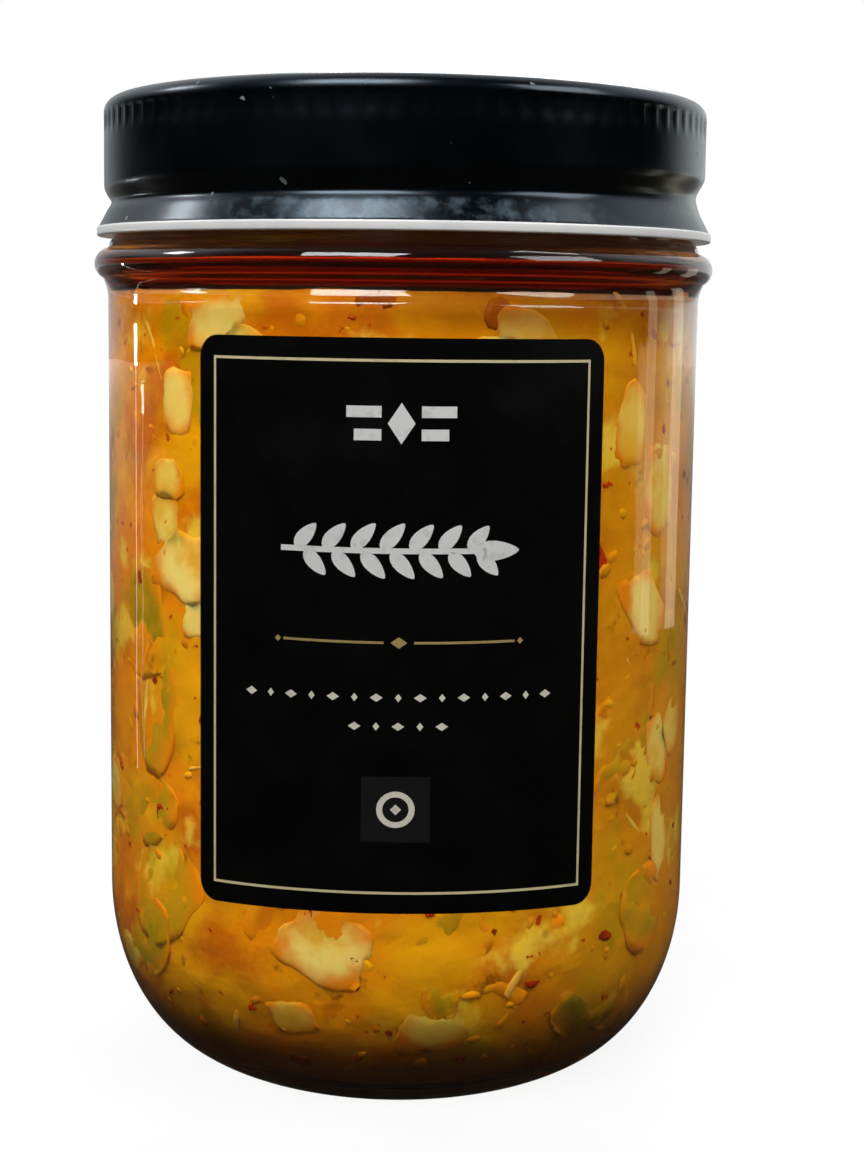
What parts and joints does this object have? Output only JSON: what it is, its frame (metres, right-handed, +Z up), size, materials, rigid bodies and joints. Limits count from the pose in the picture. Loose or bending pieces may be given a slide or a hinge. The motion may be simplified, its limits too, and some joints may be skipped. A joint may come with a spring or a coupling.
{
  "type": "kimchi jar",
  "caption": "Shut round glass preserving jar filled with kimchi, with a black metal screw lid and a plain black front label.",
  "frame": {"origin": "centre of the jar's foot, on the surface that the jar stands on", "axes": "+Z up along the jar's axis, towards the lid; the label faces -Y; +X is to the right of the label as it is read"},
  "size_m": [0.093, 0.093, 0.143],
  "materials": {
    "glass": "clear polished glass with a faint green tint in its thick parts",
    "lid_enamel": "satin black enamel on thin steel, white enamel on the rolled edge and inside",
    "label": "satin black printed film with a thin pale gold frame",
    "kimchi": "wet orange paste with cream and green cabbage pieces in amber brine"
  },
  "bodies": {
    "root": {"jar_glass": "glass", "screw_lid": "lid_enamel", "front_label": "label", "kimchi": "kimchi"}
  },
  "joints": []
}
